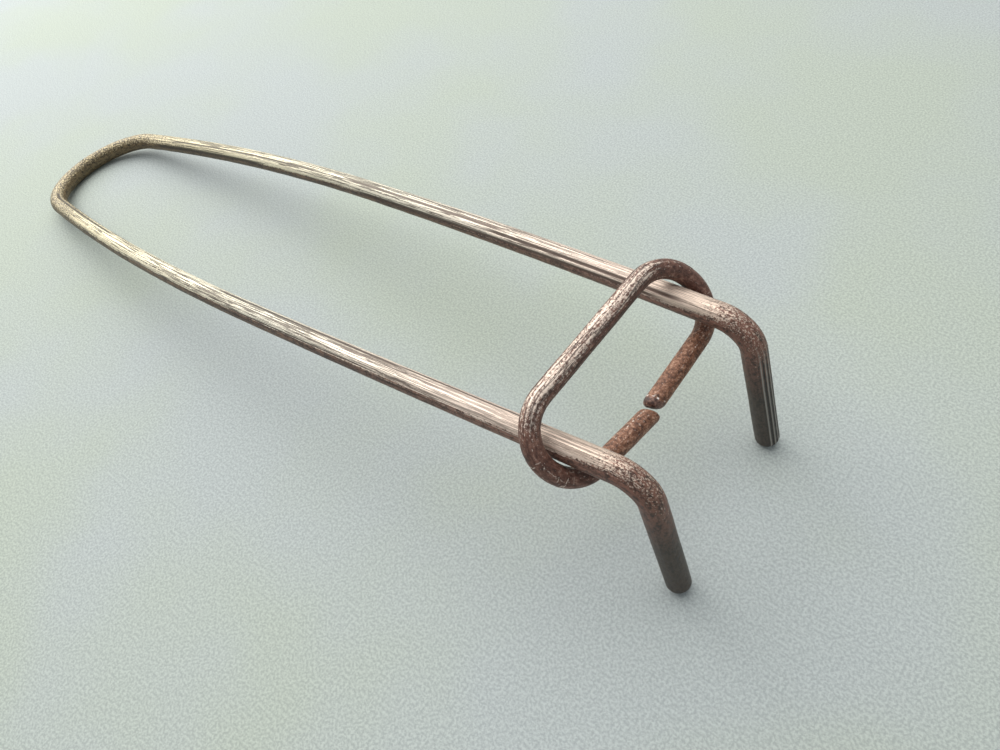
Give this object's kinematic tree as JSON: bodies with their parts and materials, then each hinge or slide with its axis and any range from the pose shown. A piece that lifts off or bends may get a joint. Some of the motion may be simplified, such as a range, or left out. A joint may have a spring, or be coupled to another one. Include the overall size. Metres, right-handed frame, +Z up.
{
  "type": "jar lifter",
  "caption": "Jar lifter: a hairpin of round steel rod with down-turned jaw legs, squeezed together by a ring that slides along its arms.",
  "frame": {"origin": "on the surface that the tool stands on, under the middle of its bounding box", "axes": "+X along the tool from the handle bend to the jaws, +Y to the left, +Z up from the surface"},
  "size_m": [0.317, 0.067, 0.0528],
  "materials": {
    "frame_steel": "drawn steel rod with lengthwise grain, darkened by age, with thin brown rust at the bends",
    "link_steel": "drawn steel rod with lengthwise grain and red-brown rust on the curls and lower run"
  },
  "bodies": {
    "handle": {"handle_bend": "frame_steel"},
    "left_arm": {"left_arm": "frame_steel"},
    "right_arm": {"right_arm": "frame_steel"},
    "link": {"slide_link": "link_steel"}
  },
  "joints": [
    {"name": "link_slide", "type": "slide", "parent": "handle", "child": "link", "axis": [-0.9929, 0, -0.1186], "range_m": [-0.006, 0.12]},
    {"name": "left_arm_flex", "type": "hinge", "parent": "handle", "child": "left_arm", "pos_m": [-0.11082, 0.02638, 0.01012], "axis": [-0.1513, 0, 0.9885], "range_deg": [-2.62, 0.14], "stiffness_Nm_per_rad": 120},
    {"name": "right_arm_flex", "type": "hinge", "parent": "handle", "child": "right_arm", "pos_m": [-0.11082, -0.02638, 0.01012], "axis": [-0.1513, 0, 0.9885], "range_deg": [-0.14, 2.62], "stiffness_Nm_per_rad": 120}
  ],
  "couplings": [
    {"joint": "left_arm_flex", "follows": "link_slide", "rad_per_m": -0.38},
    {"joint": "right_arm_flex", "follows": "link_slide", "rad_per_m": 0.38}
  ]
}
